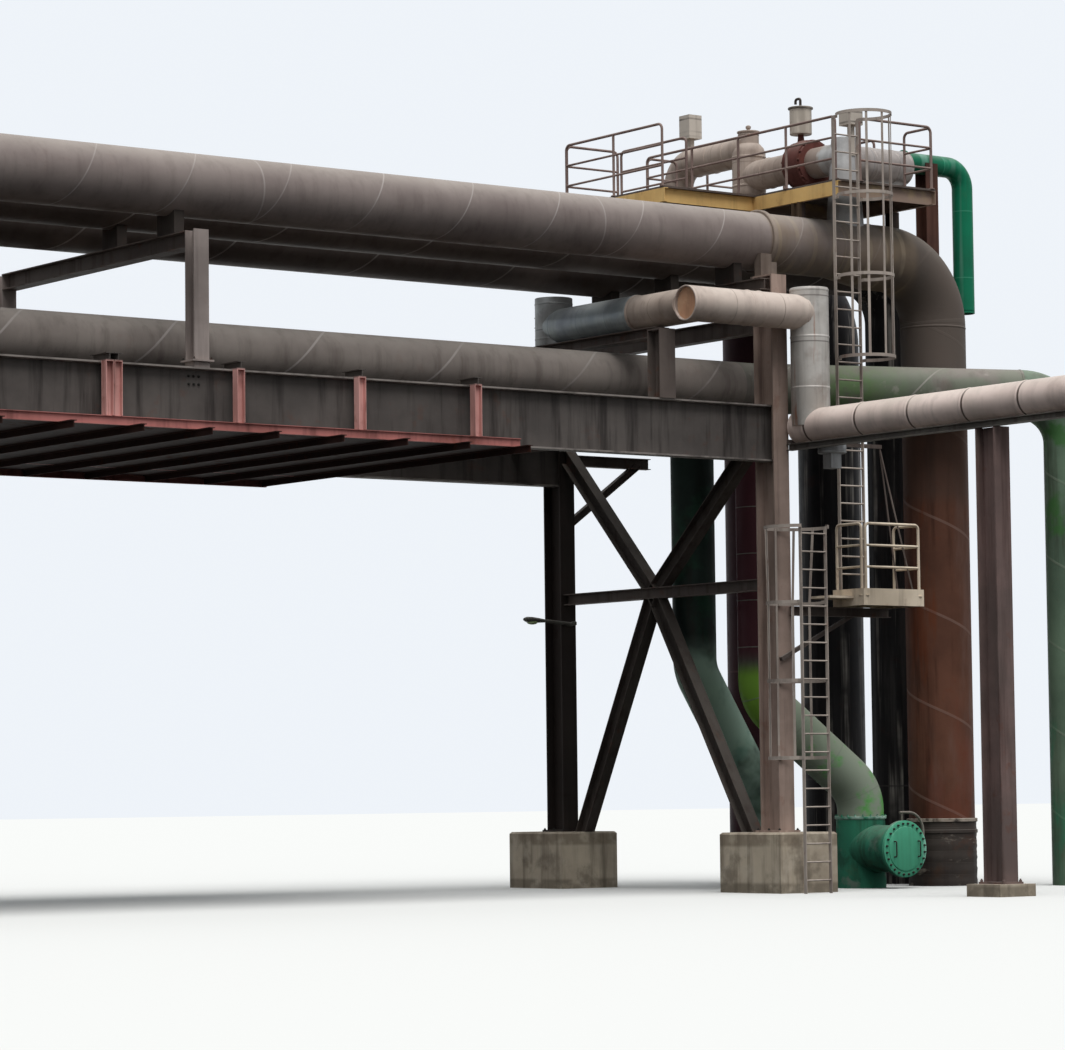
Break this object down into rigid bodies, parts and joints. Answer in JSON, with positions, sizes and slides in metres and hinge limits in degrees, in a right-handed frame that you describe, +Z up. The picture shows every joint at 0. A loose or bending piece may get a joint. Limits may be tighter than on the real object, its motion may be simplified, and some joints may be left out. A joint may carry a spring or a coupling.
{
  "type": "industrial pipe bridge",
  "caption": "Industrial pipe bridge: steel trestles and plate girders carry large pipes over a gap, with risers, caged ladders, a landing and a valve gallery at one end.",
  "frame": {"origin": "on the underside of the plinth under the near column at the riser end, at ground level, 0.1 m from its middle", "axes": "+X along the bridge towards the risers, +Y across it away from the ladders, +Z up"},
  "size_m": [24.8387, 13.26, 12.94],
  "materials": {
    "concrete": "rough, stained",
    "grey_steel": "weathered paint with rust",
    "red_steel": "weathered red primer",
    "taupe_pipe": "weathered paint",
    "red_pipe": "weathered red-brown paint",
    "black_wrap": "wrapped tape",
    "dark_pipe": "weathered black paint",
    "maroon_pipe": "weathered dark red paint",
    "green_pipe": "faded green paint",
    "rust_cast": "rusted",
    "teal_cover": "faded teal paint",
    "lagging": "painted sheet over insulation",
    "galvanised": "galvanised sheet",
    "cladding": "aluminium sheet over insulation",
    "cream_steel": "weathered cream paint",
    "yellow_steel": "faded yellow paint",
    "brown_rail": "weathered paint",
    "vent_green": "green paint"
  },
  "bodies": {
    "root": {"plinths": "concrete", "columns": "grey_steel", "upper_braces": "grey_steel", "lower_braces": "grey_steel", "struts": "grey_steel", "head_beams": "grey_steel", "girders": "grey_steel", "floor_beams": "grey_steel", "deck_ribs": "red_steel", "deck_plate": "grey_steel", "edge_channels": "red_steel", "hangers": "red_steel", "goalpost_posts": "grey_steel", "goalpost_beam": "grey_steel", "near_pipe": "taupe_pipe", "near_riser": "red_pipe", "base_sleeve": "black_wrap", "back_pipes": "taupe_pipe", "back_risers": "dark_pipe", "branch_riser": "maroon_pipe", "upper_saddles": "grey_steel", "lower_saddles": "grey_steel", "lower_pipe": "taupe_pipe", "lower_crossing": "taupe_pipe", "green_riser": "green_pipe", "second_pipe": "dark_pipe", "second_drop": "green_pipe", "drop_pipe": "maroon_pipe", "tee_piece": "green_pipe", "blind_cover": "teal_cover", "lagged_run": "lagging", "grey_riser": "galvanised", "outrun": "lagging", "back_branch": "lagging", "clad_branch": "cladding", "drum": "galvanised", "short_posts": "grey_steel", "branch_beam": "grey_steel", "drip_can": "galvanised", "outrigger": "grey_steel", "outrigger_column": "grey_steel", "lower_ladder": "cream_steel", "lower_cage": "cream_steel", "landing": "cream_steel", "landing_railing": "cream_steel", "landing_brackets": "grey_steel", "landing_rods": "grey_steel", "upper_ladder": "cream_steel", "upper_cage": "cream_steel", "gallery_beams": "yellow_steel", "gallery_deck": "grey_steel", "gallery_railings": "brown_rail", "branch_cone": "cladding", "valve": "rust_cast", "valve_train": "lagging", "instrument_boxes": "galvanised", "vent_pipe": "vent_green", "vent_post": "red_pipe", "far_bracket": "grey_steel", "lamp": "galvanised"}
  },
  "joints": []
}
